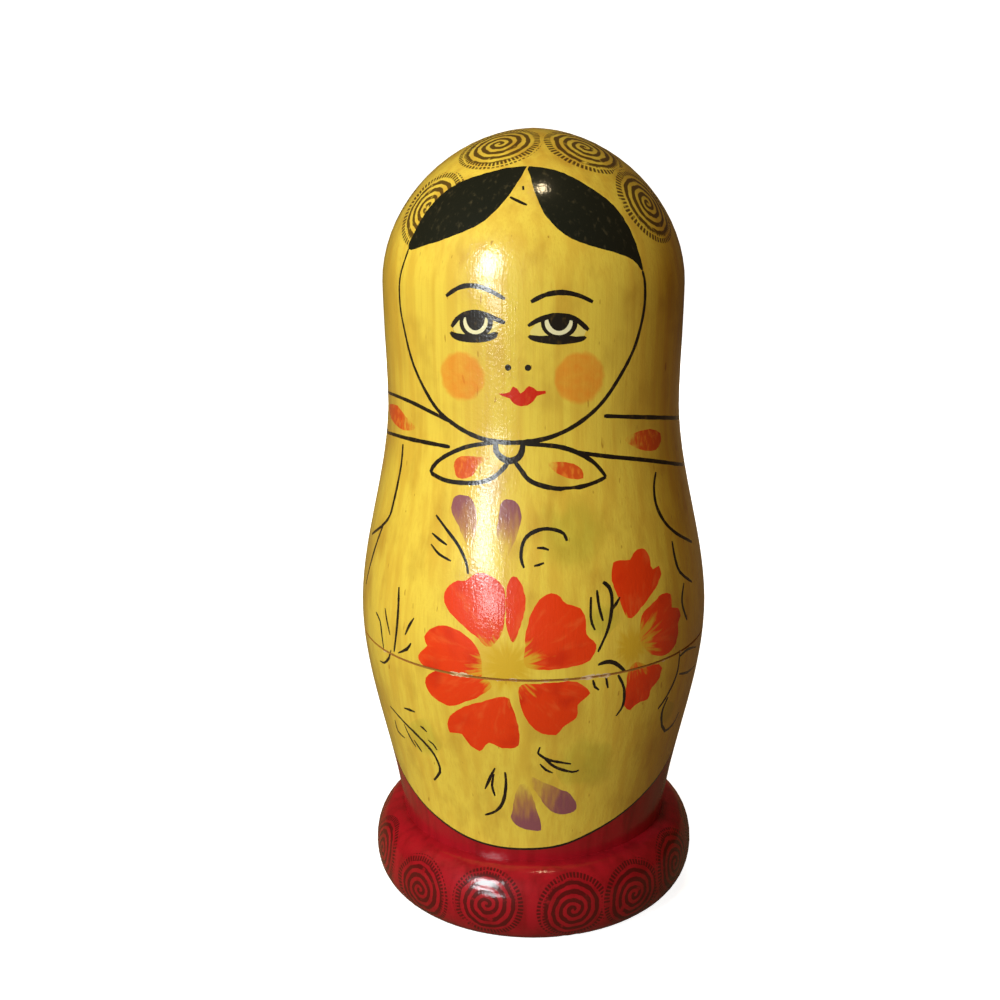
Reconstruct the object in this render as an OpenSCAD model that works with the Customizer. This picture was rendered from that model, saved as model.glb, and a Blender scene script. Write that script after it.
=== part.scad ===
// Nesting doll turned in wood, with a thick rolled foot: a set of hollow two-part dolls, each opening at the
// waist on a fitted lip, around one solid doll. Every smaller doll has the outline of the largest one and is
// as large as the hollow that it stands in allows. The set stands on z = 0 with its axis on Z.

/* [Outline of the largest doll] */
// Overall height
doll_h = 200; // [190:0.5:230]
// Diameter at the widest part of the head
head_d = 75.8; // [70:0.1:84]
// Height of the widest part of the head
head_z = 163; // [155:0.5:170]
// Diameter at the neck
neck_d = 74.6; // [68:0.1:78]
// Height of the neck
neck_z = 133.7; // [120:0.1:145]
// Diameter at the widest part of the belly
belly_d = 90.9; // [84:0.1:100]
// Height of the widest part of the belly
belly_z = 78.2; // [76:0.1:95]
// Diameter of the ankle, where the body meets the foot
ankle_d = 71.8; // [66:0.1:76]
// Outward lean of the body just above the ankle, as a slope
ankle_lean = 0.086; // [0:0.002:0.2]
// Power of the crown's curve, where 2 is an ellipse
crown_power = 1.88; // [1.6:0.02:2.4]

/* [Foot of the largest doll] */
// Diameter across the rolled foot
foot_d = 87.2; // [80:0.1:92]
// Height of the foot, up to the ankle
foot_h = 20.6; // [16:0.1:26]
// Height of the widest part of the foot
foot_mid_z = 9.7; // [7:0.1:13]
// Diameter of the flat face that it stands on
foot_face_d = 72.7; // [60:0.1:76]
// Power of the foot's rolled curve, where 2 is an ellipse
foot_power = 2.1; // [1.8:0.05:3]

/* [Walls] */
// Wall of the largest doll
wall_t = 4; // [3:0.1:6]
// Wall that the smaller dolls tend to
wall_least = 1; // [0.8:0.1:1.6]
// Thickness of the largest doll at the crown
crown_t = 6; // [4:0.1:9]
// Thickness at the crown that the smaller dolls tend to
crown_least = 1.2; // [0.8:0.1:2]
// Floor under the largest doll's hollow
floor_t = 10; // [7:0.1:14]
// Floor that the smaller dolls tend to
floor_least = 1.2; // [0.8:0.1:2]
// Radius between the largest doll's hollow and its floor
floor_corner = 3; // [1:0.1:5]

/* [Joint at the waist] */
// Height of the seam between the largest doll's halves
seam_z = 73.6; // [66:0.1:76]
// Height of its lip above the seam
lip_h = 9; // [6:0.1:12]
// Height of lip that the smaller dolls tend to
lip_h_least = 1.5; // [1:0.1:2.5]
// Thickness of the largest doll's lip
lip_t = 2.4; // [1.8:0.1:3.2]
// Thickness of lip that the smaller dolls tend to
lip_t_least = 0.5; // [0.4:0.05:0.8]
// Wall left around the largest doll's socket
socket_wall = 2.8; // [2.2:0.1:3.6]
// Wall around the socket that the smaller dolls tend to
socket_wall_least = 0.6; // [0.4:0.05:0.9]
// Clearance between lip and socket, on the radius
lip_fit = 0.08; // [0.04:0.01:0.2]
// Free height between the lip and the bottom of its socket
lip_room = 0.4; // [0.2:0.05:1]
// Lead-in on the edges of the largest doll's lip and socket
lip_lead = 0.5; // [0.2:0.05:0.9]
// Softened edge on each side of the largest doll's seam
seam_edge = 0.3; // [0.1:0.05:0.6]

/* [Set] */
// Number of dolls, with the solid one
doll_count = 7; // [2:1:7]
// Clearance of a doll in the hollow around it, on the radius
nest_gap = 0.3; // [0.2:0.05:0.8]
// Height that a doll stands clear of the floor under it
stand_gap = 0.02; // [0.01:0.01:0.1]

/* [Hidden] */
SIZES = ["outer", "second", "third", "fourth", "fifth", "sixth"];
body_steps = 26;
hollow_steps = 12;
crown_steps = 18;
roll_steps = 9;
corner_steps = 4;
lacquer_yellow = "goldenrod";
foot_crimson = "firebrick";

function mix(a, b, t) = a + (b - a) * t;
function backward(points) = [for (k = [len(points) - 1 : -1 : 0]) points[k]];
// A thickness or edge on a doll of scale s, between the largest doll's and the least one
function sized(large, least, s) = mix(least, large, s);
function edged(large, s) = large * s;

// Radius that passes smoothly from r0 at z0, with slope m0, to r1 at z1, where the wall stands upright
function ease(z, z0, r0, m0, z1, r1) =
    let (rise = z1 - z0, t = (z - z0) / rise)
    mix(r0, r1, t * t * (3 - 2 * t)) + rise * m0 * t * (1 - t) * (1 - t);

// Radius of the largest doll's body at height z, between its ankle and its head
function body_r(z) =
    z < belly_z ? ease(z, foot_h, ankle_d / 2, ankle_lean, belly_z, belly_d / 2)
    : z < neck_z ? ease(z, belly_z, belly_d / 2, 0, neck_z, neck_d / 2)
    : ease(z, neck_z, neck_d / 2, 0, head_z, head_d / 2);
// The same on a doll of scale s, where z is a height of that doll
function wall_r(z, s) = s * body_r(z / s);

// Sizes of a doll of scale s
function wall_of(s) = sized(wall_t, wall_least, s);
function crown_of(s) = sized(crown_t, crown_least, s);
function floor_of(s) = sized(floor_t, floor_least, s);
function lip_h_of(s) = sized(lip_h, lip_h_least, s);
function socket_r(s) = wall_r(s * seam_z, s) - sized(socket_wall, socket_wall_least, s);
function lip_r(s) = socket_r(s) - lip_fit;
function mouth_r(s) = lip_r(s) - sized(lip_t, lip_t_least, s);
function bore_r(s) = s * ankle_d / 2 - wall_of(s);

// Scale of the largest doll that stands in the hollow of one of scale s: its foot goes down the bore, its
// belly through the mouth and its head through the neck, and it stays under the crown
function nested_scale(s) = min(
    (bore_r(s) - nest_gap) / (foot_d / 2),
    (mouth_r(s) - nest_gap) / (max(belly_d, foot_d) / 2),
    (s * neck_d / 2 - wall_of(s) - nest_gap) / (max(head_d, neck_d) / 2),
    (s * doll_h - crown_of(s) - floor_of(s) - stand_gap - nest_gap) / doll_h
);
function scale_of(k) = k == 0 ? 1 : nested_scale(scale_of(k - 1));
// Height at which doll k stands: on the floor of the one around it
function stand_z(k) = k == 0 ? 0 : stand_z(k - 1) + floor_of(scale_of(k - 1)) + stand_gap;

// Points up the body from z0 to z1, moved in by inset
function body_points(s, z0, z1, inset, steps) = [
    for (k = [0 : steps]) let (z = mix(z0, z1, k / steps)) [wall_r(z, s) - inset, z]
];
// Points over the crown from the head to the axis, moved in by inset at the side and by drop at the top
function crown_points(s, inset, drop) = [
    for (k = [1 : crown_steps])
        let (a = 90 * k / crown_steps)
        [
            (s * head_d / 2 - inset) * pow(cos(a), 2 / crown_power),
            s * head_z + (s * (doll_h - head_z) - drop) * pow(sin(a), 2 / crown_power)
        ]
];
// A quarter of the foot's roll, from [r0, z0] out or up to [r1, z1]
function quarter_roll(r0, z0, r1, z1, outward) = [
    for (k = [1 : roll_steps])
        let (a = 90 * k / roll_steps, rise = pow(sin(a), 2 / foot_power), fall = 1 - pow(cos(a), 2 / foot_power))
        outward ? [mix(r0, r1, rise), mix(z0, z1, fall)] : [mix(r0, r1, fall), mix(z0, z1, rise)]
];
// Points from the axis along the standing face and around the foot to the ankle
function foot_points(s) =
    let (face_r = s * foot_face_d / 2, foot_r = s * foot_d / 2, mid_z = s * foot_mid_z)
    concat(
        [[0, 0], [face_r, 0]],
        quarter_roll(face_r, 0, foot_r, mid_z, true),
        quarter_roll(foot_r, mid_z, s * ankle_d / 2, s * foot_h, false)
    );
// Points of a lower half's hollow, from the lip's mouth down to the middle of its floor
function hollow_points(s) =
    let (r = bore_r(s), z = floor_of(s), corner = edged(floor_corner, s))
    concat(
        [
            for (p = backward(body_points(s, s * foot_h, s * seam_z, wall_of(s), hollow_steps)))
                [min(p[0], mouth_r(s)), p[1]]
        ],
        [
            for (k = [0 : corner_steps])
                let (a = 90 * k / corner_steps)
                [r - corner + corner * cos(a), z + corner - corner * sin(a)]
        ],
        [[0, z]]
    );

module turned(points) {
    rotate_extrude($fn = 120) polygon(points);
}

// Lower half of doll k: foot, body up to the seam, and the lip that the upper half pushes over
module lower_half(k) {
    s = scale_of(k);
    seam = s * seam_z;
    edge = edged(seam_edge, s);
    lead = edged(lip_lead, s);
    body = body_points(s, s * foot_h, seam - edge, 0, body_steps);
    color(foot_crimson)
        translate([0, 0, stand_z(k)])
            turned(concat(
                foot_points(s),
                [for (n = [1 : body_steps]) body[n]],
                [
                    [wall_r(seam, s) - edge, seam],
                    [lip_r(s), seam],
                    [lip_r(s), seam + lip_h_of(s) - lead],
                    [lip_r(s) - lead, seam + lip_h_of(s)],
                    [mouth_r(s), seam + lip_h_of(s)]
                ],
                hollow_points(s)
            ));
}

// Upper half of doll k: body from the seam to the crown, hollow, with the socket for the lip
module upper_half(k) {
    s = scale_of(k);
    seam = s * seam_z;
    edge = edged(seam_edge, s);
    lead = edged(lip_lead, s);
    socket_top = seam + lip_h_of(s) + lip_room;
    color(lacquer_yellow)
        translate([0, 0, stand_z(k)])
            turned(concat(
                [[wall_r(seam, s) - edge, seam]],
                body_points(s, seam + edge, s * head_z, 0, body_steps),
                crown_points(s, 0, 0),
                backward(crown_points(s, wall_of(s), crown_of(s))),
                backward(body_points(s, socket_top, s * head_z, wall_of(s), hollow_steps)),
                [
                    [socket_r(s), socket_top],
                    [socket_r(s), seam + lead],
                    [socket_r(s) + lead, seam]
                ]
            ));
}

// The smallest doll, in one piece
module solid_doll(k) {
    s = scale_of(k);
    body = body_points(s, s * foot_h, s * head_z, 0, body_steps);
    color(lacquer_yellow)
        translate([0, 0, stand_z(k)])
            turned(concat(foot_points(s), [for (n = [1 : body_steps]) body[n]], crown_points(s, 0, 0)));
}

for (k = [0 : doll_count - 2]) {
    lower_half(k);
    upper_half(k);
}
solid_doll(doll_count - 1);  // innermost_doll
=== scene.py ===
import math
import random
from collections import Counter, namedtuple

import bpy
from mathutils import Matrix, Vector, geometry

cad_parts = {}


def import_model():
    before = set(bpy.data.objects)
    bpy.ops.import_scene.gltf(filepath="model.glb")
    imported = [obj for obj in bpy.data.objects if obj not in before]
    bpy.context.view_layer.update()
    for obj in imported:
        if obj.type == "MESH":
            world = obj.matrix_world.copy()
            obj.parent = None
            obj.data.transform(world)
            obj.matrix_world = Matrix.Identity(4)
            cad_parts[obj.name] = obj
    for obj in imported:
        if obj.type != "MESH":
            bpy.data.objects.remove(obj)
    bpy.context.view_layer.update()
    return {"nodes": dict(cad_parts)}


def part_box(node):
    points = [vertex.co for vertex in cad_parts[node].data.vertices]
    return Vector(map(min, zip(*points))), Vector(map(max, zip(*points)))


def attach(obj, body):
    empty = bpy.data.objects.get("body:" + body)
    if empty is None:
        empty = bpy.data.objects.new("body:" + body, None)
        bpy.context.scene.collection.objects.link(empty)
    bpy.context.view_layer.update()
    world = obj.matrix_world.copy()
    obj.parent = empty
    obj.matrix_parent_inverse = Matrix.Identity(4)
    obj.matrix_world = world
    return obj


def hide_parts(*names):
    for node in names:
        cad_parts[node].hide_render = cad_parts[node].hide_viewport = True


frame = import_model()
scene = bpy.context.scene

# The photograph's frame in pixels, and the camera that took it, in metres and radians
FRAME_PX = 1000
FOCAL_PX = 1340
OPTICAL_CENTRE_PX = (533.6, 494.4)
EYE = Vector((0, -0.340, 0.1977))
EYE_TILT = math.radians(14.92)
SENSOR_MM = 36
CLIP_START = 0.01
# Size of a pixel at the front of the belly
MM_PER_PX = 0.25

# The dolls of the set from the largest to the smallest, as the frame names them
HOLLOW_DOLLS = ["outer", "second", "third", "fourth", "fifth", "sixth"]
SOLID_DOLL = "innermost"

MM = 0.001
# A corner of an outline sharper than this shows as an edge
EDGE_ANGLE = math.radians(28)
# Facets round the largest doll and round the smallest
MOST_COLUMNS = 96
LEAST_COLUMNS = 40
# Facets round a rim or crease of any doll
RIM_COLUMNS = 120
# The least distance between two rows of facets, as a share of a facet's width
CLOSEST_ROWS = 0.45
# The brush's place at a corner that needs none
NO_BRUSH = (0.0, 0.0, 0.0)

# Where the paint stops under the foot, from the middle, and how far its edge strays
BARE_FOOT_MM = 34.0
BARE_WOBBLE_MM = 0.4
# Radius of the spiral stamps, the distance from turn to turn, and how far they are turned at most
STAMP_RADIUS_MM = 10.4
STAMP_PITCH_MM = 2.1
FOOT_STAMP_RADIUS_MM = 9.6
FOOT_STAMP_PITCH_MM = 2.05
STAMP_TURN = 6
# Brush strokes: how their width varies, how narrow they start, and the steps that one loop takes
STROKE_WOBBLE = (0.9, 1.1)
STROKE_TIP = 0.75
STROKE_LENGTH = 5
# Distance between the points of a painted edge on the largest doll, in pixels
FINEST_STEP_PX = 4.5
# Smaller dolls have thicker strokes for their size, by this power of their scale
STROKE_SWELL = 0.3
# Dolls below this scale have no fine lines
FINE_LINES_SCALE = 0.2
# Seed of the hand that paints, and how far the seeds of paints of a kind are apart
PAINT_SEED = 7
SEED_STEPS = {"stamp": 0.37, "foot_stamp": 0.29, "hem_dab": 0.2, "dab": 0.3, "petal": 0.45, "purple": 0.4}
# Points round each kind of painted round, and how ragged the edges of paints are, in pixels
ROUND_POINTS = {
    "bare": 72, "dab": 20, "dot": 14, "eye": 28, "foot_stamp": 36, "heart": 30, "stamp": 40, "wash": 32}
RAGGED_PX = {"hair": 0.3, "dab": 0.4, "petal": 0.45, "purple": 0.5}
# How much wider a wash of thin paint or a stamp is cut than its paint reaches
WASH_MARGIN = 1.12
STAMP_MARGIN = 1.04
# Clear lacquer over everything outside, thin over the wood and deep over red and hair: its roughness,
# the depth of the ripples that the grain leaves in it, in m, and how much the paint under it shines
THIN_LACQUER = (0.14, 0.0001, 0.24)
DEEP_LACQUER = (0.11, 0.00005, 0.08)
# What fibres, bands and the lacquer's own peel add to those ripples
RIPPLES = (0.3, 0.4, 0.5)
PAINT_ROUGHNESS = 0.42
# Bare wood and the seam's edge: roughness, depth of their relief in m, and shine
BARE_SURFACE = (0.62, 0.00012, 0.12)
SEAM_SURFACE = (0.7, 0.00004, 0.12)
# How far chips reach from the waist's rim, in mm
CHIP_REACH = 0.75
# Points this near to a crease lie on it, and points this near to each other are one
CREASE_SNAP_MM = 0.12
MERGE_MM = 0.002
# Places that differ by less are the same, in m on the frame's meshes and in mm on the doll
SAME_M = 1e-7
DIGITS_M = 7
SAME_MM = 1e-5
# A length below this is none, a ray this near to a cone's slope misses it, and ends overlap by this share
TINY = 1e-6
SLOPE_SLACK = 1e-12
END_SLACK = 1e-4
# The least radius that strokes are measured with, and the distance that stamps are pressed on from, in mm
LEAST_RADIUS_MM = 1.0
PRESS_FROM_MM = 15
# The inside's distance from the rim, out of the reach of chips
NO_RIM = 1.0


# Outlines, read from the frame

def turned_profile(node, from_top):
    """Points (r, z) of a turned solid from pole to pole, read where its mesh meets the half plane y = 0."""
    mesh = frame["nodes"][node].data
    places = [(round(v.co.x, DIGITS_M), round(v.co.z, DIGITS_M)) for v in mesh.vertices]
    flat = [abs(v.co.y) < SAME_M and v.co.x > -SAME_M for v in mesh.vertices]
    beside = {}
    for edge in mesh.edges:
        a, b = edge.vertices
        if flat[a] and flat[b] and places[a] != places[b]:
            beside.setdefault(places[a], set()).add(places[b])
            beside.setdefault(places[b], set()).add(places[a])
    ends = sorted((p for p in beside if len(beside[p]) == 1), key=lambda p: p[1])
    walk = [ends[-1] if from_top else ends[0]]
    while True:
        onward = beside[walk[-1]] - set(walk[-2:])
        if not onward:
            break
        walk.append(onward.pop())
    first = [(0.0, walk[0][1])] if walk[0][0] > 0 else []
    last = [(0.0, walk[-1][1])] if walk[-1][0] > 0 else []
    return first + walk + last


def split_at_rim(profile):
    """The outside of a half up to its rim, and the rest: the seam's edge, lip or socket, and hollow."""
    for i in range(2, len(profile) - 1):
        level = abs(profile[i][1] - profile[i + 1][1]) < TINY
        if level and profile[i + 1][0] < profile[i][0]:
            return profile[:i], profile[i - 1:]
    raise ValueError("the profile has no ledge at its seam")


def segment_normals(points):
    """The normals at the start and end of each segment of a profile, shared with its neighbours except
    at edges. The solid lies to the left of the way along the profile."""
    flat = []
    for (r0, z0), (r1, z1) in zip(points, points[1:]):
        run = math.hypot(r1 - r0, z1 - z0)
        flat.append(((z1 - z0) / run, (r0 - r1) / run))
    pairs = []
    for i, own in enumerate(flat):
        pair = []
        for j in (max(i - 1, 0), min(i + 1, len(flat) - 1)):
            turn = math.acos(min(1.0, max(-1.0, own[0] * flat[j][0] + own[1] * flat[j][1])))
            mean = own if turn > EDGE_ANGLE else (own[0] + flat[j][0], own[1] + flat[j][1])
            size = math.hypot(*mean)
            pair.append((mean[0] / size, mean[1] / size))
        pairs.append(pair)
    return pairs


def angles_round(count):
    return [2 * math.pi * k / count for k in range(count)]


def spun(r, z, angle):
    """The point or direction (r, z) turned round the axis to an angle from the front."""
    return Vector((r * math.sin(angle), -r * math.cos(angle), z))


class Outline:
    """The outside of the largest doll in mm, measured along its length from the middle of its foot."""

    def __init__(self, points, rim_index):
        self.points = points
        self.steps = [math.dist(p, q) for p, q in zip(points, points[1:])]
        self.at = [0.0]
        for step in self.steps:
            self.at.append(self.at[-1] + step)
        self.length = self.at[-1]
        self.lower_rim = self.at[rim_index]
        self.upper_rim = self.at[rim_index + 1]
        self.normals = segment_normals(points)
        self.height = points[-1][1]

    def segment(self, t):
        low, high = 0, len(self.steps) - 1
        while low < high:
            mid = (low + high + 1) // 2
            low, high = (mid, high) if self.at[mid] <= t else (low, mid - 1)
        return low

    def place(self, t):
        """Radius and height at t."""
        i = self.segment(t)
        share = (t - self.at[i]) / self.steps[i]
        (r0, z0), (r1, z1) = self.points[i], self.points[i + 1]
        return max(r0 + (r1 - r0) * share, 0.0), z0 + (z1 - z0) * share

    def point(self, angle, t):
        return spun(*self.place(t), angle)

    def normal(self, angle, t, near):
        """Outward normal at (angle, t), and at an edge of the outline that of the side where near lies."""
        i = self.segment(t)
        if near < t and i > 0 and abs(t - self.at[i]) < SAME_MM:
            i -= 1
        elif near > t and i + 1 < len(self.steps) and abs(t - self.at[i + 1]) < SAME_MM:
            i += 1
        share = min(max((t - self.at[i]) / self.steps[i], 0.0), 1.0)
        start, end = self.normals[i]
        return spun(*(start[k] + (end[k] - start[k]) * share for k in (0, 1)), angle).normalized()

    def edges(self):
        """Where the outline has an edge."""
        pairs = zip(self.normals, self.normals[1:], self.at[1:])
        return [t for (_, end), (start, _), t in pairs if math.dist(end, start) > EDGE_ANGLE]

    def at_height(self, z):
        """The distance up the outside to a height above the foot's edge."""
        for i, ((r0, z0), (r1, z1)) in enumerate(zip(self.points, self.points[1:])):
            if z0 <= z < z1:
                return self.at[i] + self.steps[i] * (z - z0) / (z1 - z0)
        return self.length

    def cast(self, origin, direction):
        """Where a ray first meets the doll, as (angle, t), or None."""
        best = None
        for i, step in enumerate(self.steps):
            (r0, z0), (r1, z1) = self.points[i], self.points[i + 1]
            if abs(z1 - z0) < TINY:
                continue
            slope = (r1 - r0) / (z1 - z0)
            base = r0 + slope * (origin.z - z0)
            rise = slope * direction.z
            a = direction.x ** 2 + direction.y ** 2 - rise ** 2
            b = origin.x * direction.x + origin.y * direction.y - base * rise
            c = origin.x ** 2 + origin.y ** 2 - base ** 2
            root = b * b - a * c
            if root < 0 or abs(a) < SLOPE_SLACK:
                continue
            for sign in (-1, 1):
                reach = (-b + sign * math.sqrt(root)) / a
                share = (origin.z + direction.z * reach - z0) / (z1 - z0)
                met = reach > 0 and -END_SLACK <= share <= 1 + END_SLACK
                if met and (best is None or reach < best[0]):
                    best = (reach, self.at[i] + step * min(max(share, 0), 1))
        if best is None:
            return None
        hit = origin + direction * best[0]
        return math.atan2(hit.x, -hit.y), best[1]


def in_mm(profile):
    return [(r / MM, z / MM) for r, z in profile]


lower_outside, _ = split_at_rim(turned_profile("outer_lower_half", False))
upper_outside, _ = split_at_rim(turned_profile("outer_upper_half", True))
outline = Outline(in_mm(lower_outside + upper_outside[::-1]), len(lower_outside) - 1)


# Places on the doll, as (angle from the front, distance up the outline)

def seen(pixel):
    """The place on the largest doll that shows at a pixel of the photograph, or the nearest beside it."""
    px, py = pixel
    sine, cosine = math.sin(EYE_TILT), math.cos(EYE_TILT)
    while True:
        right = (px - OPTICAL_CENTRE_PX[0]) / FOCAL_PX
        down = (py - OPTICAL_CENTRE_PX[1]) / FOCAL_PX
        ray = Vector((right, cosine - down * sine, -sine - down * cosine)).normalized()
        place = outline.cast(EYE / MM, ray)
        if place:
            return place
        px += math.copysign(1, OPTICAL_CENTRE_PX[0] - px)


def round_at(degrees, height):
    """The place at an angle round from the front and a height in mm."""
    return math.radians(degrees), outline.at_height(height)


def smooth(points, closed, step):
    """A Catmull-Rom curve through the points, with a point about every step."""
    count = len(points)
    curve = []
    for i in range(count if closed else count - 1):
        if closed:
            near = [points[(i + k) % count] for k in (-1, 0, 1, 2)]
        else:
            near = [points[min(max(i + k, 0), count - 1)] for k in (-1, 0, 1, 2)]
        parts = max(1, round(math.dist(near[1], near[2]) / step))
        for n in range(parts):
            u = n / parts
            weights = (
                (-u + 2 * u ** 2 - u ** 3) / 2,
                (2 - 5 * u ** 2 + 3 * u ** 3) / 2,
                (u + 4 * u ** 2 - 3 * u ** 3) / 2,
                (u ** 3 - u ** 2) / 2,
            )
            curve.append(tuple(sum(w * p[k] for w, p in zip(weights, near)) for k in (0, 1)))
    if not closed:
        curve.append(tuple(points[-1]))
    return curve


class Brush:
    """Local axes on the doll where a shape is painted: across and up, in mm, turned by an angle."""

    def __init__(self, place, turn=0.0, seed=0.0):
        angle, t = place
        self.origin = outline.point(angle, t)
        self.out = outline.normal(angle, t, t)
        level = Vector((math.cos(angle), math.sin(angle), 0))
        up = self.out.cross(level)
        self.x_axis = level * math.cos(turn) + up * math.sin(turn)
        self.y_axis = up * math.cos(turn) - level * math.sin(turn)
        self.seed = seed
        self.size = 1.0

    def local(self, point, _):
        offset = (point - self.origin) / self.size
        return offset.dot(self.x_axis), offset.dot(self.y_axis), self.seed

    def printed(self, x, y):
        """The place on the doll under a point of the local plane."""
        above = self.origin + self.x_axis * x + self.y_axis * y + self.out * PRESS_FROM_MM
        return outline.cast(above, -self.out)


# The painting of the front. Places are pixels of the photograph.

# Widths of brush lines that come more than once, at their start, middle and end, in mm
DASH = (0.62, 0.74, 0.6)
VEIN = (0.46, 0.75, 0.46)
BLADE = (0.46, 0.8, 0.46)
TWIG = (0.57, 0.86, 0.57)
STEM = (0.57, 0.92, 0.57)
LID = (0.95, 1.35, 1)
HEM = (0.78, 1.04, 0.91)
FOLD = (0.91, 1.1, 0.91)
SLEEVE = (0.78, 1.04, 0.78)
CUFF = (0.65, 1.04, 0.65)

FACE_LINES_PX = {
    "face_oval": ((0.66, 1.14, 0.84), [
        (408.6, 249), (400.5, 275), (399.6, 298), (403, 323), (414, 366), (434, 405), (455, 425),
        (480, 438), (505, 442.5), (528, 441.6), (551, 437), (576, 425), (600, 405), (619, 378),
        (635, 346), (644, 310), (645, 284), (642.5, 271)]),
    "left_brow": ((0.95, 1.2, 0.9), [(446, 296), (457, 288.5), (469, 285.5), (485, 288.5), (505, 299)]),
    "right_brow": ((0.95, 1.25, 0.9), [(531, 302), (545, 295), (562, 292.5), (579, 295.5), (593, 302)]),
    "left_upper_lid": (LID, [
        (451.5, 327), (457, 319), (464, 314.5), (473, 312.7), (482, 313.6), (491, 317), (505, 323)]),
    "right_upper_lid": (LID, [
        (528, 326), (537, 320.7), (548, 316.8), (558.6, 315.7), (569, 316.8), (578, 320.7), (588.5, 330)]),
    "parting_dash": (DASH, [(523, 186), (523.5, 190)]),
    "brow_dash": (DASH, [(510, 197), (518, 201), (527, 205)]),
}
BOW_LINES_PX = {
    "knot": ((1.17, 1.69, 1.17), [
        (496, 442), (496, 451), (502, 458), (510, 461), (518, 458), (522, 451), (523, 442)]),
    "left_loop": ((0.91, 1.1, 1.04), [
        (494, 443), (482, 444), (466, 447), (449, 454), (437, 462), (431, 471), (436, 476), (448, 481),
        (466, 483), (482, 482), (494, 477), (502, 470), (508, 463)]),
    "right_loop_top": ((0.91, 1.17, 0.91), [
        (524, 444), (543, 445), (560, 447), (576, 452), (592, 461), (601, 470), (606, 477)]),
    "right_loop_bottom": ((0.91, 1.17, 1.04), [
        (606, 477), (596, 482), (580, 487), (562, 489), (543, 486), (529, 480), (521, 470), (515, 462)]),
    "left_scarf_upper": (HEM, [(387, 392), (411, 402), (431, 412), (451, 422)]),
    "left_scarf_lower": (HEM, [(386, 432), (406, 438), (429, 443), (450, 447)]),
    "right_scarf_upper": (FOLD, [(604, 416), (635, 417), (680, 418)]),
    "right_scarf_lower": (FOLD, [(576, 452), (604, 456), (645, 460), (685, 465)]),
    "left_sleeve": (SLEEVE, [(403, 444), (401, 466), (395, 496), (388, 519), (372, 534)]),
    "left_cuff": (CUFF, [(384, 523), (376, 545), (370, 566), (366, 584)]),
    "right_sleeve": (SLEEVE, [
        (656, 472), (654, 486), (656, 504), (664, 521), (676, 533), (692, 542)]),
    "right_cuff": (CUFF, [(672, 541), (675, 558), (680, 572), (692, 582)]),
    "right_forearm": ((0.65, 0.91, 0.65), [(684, 583), (682, 602), (687, 620)]),
}
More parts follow.
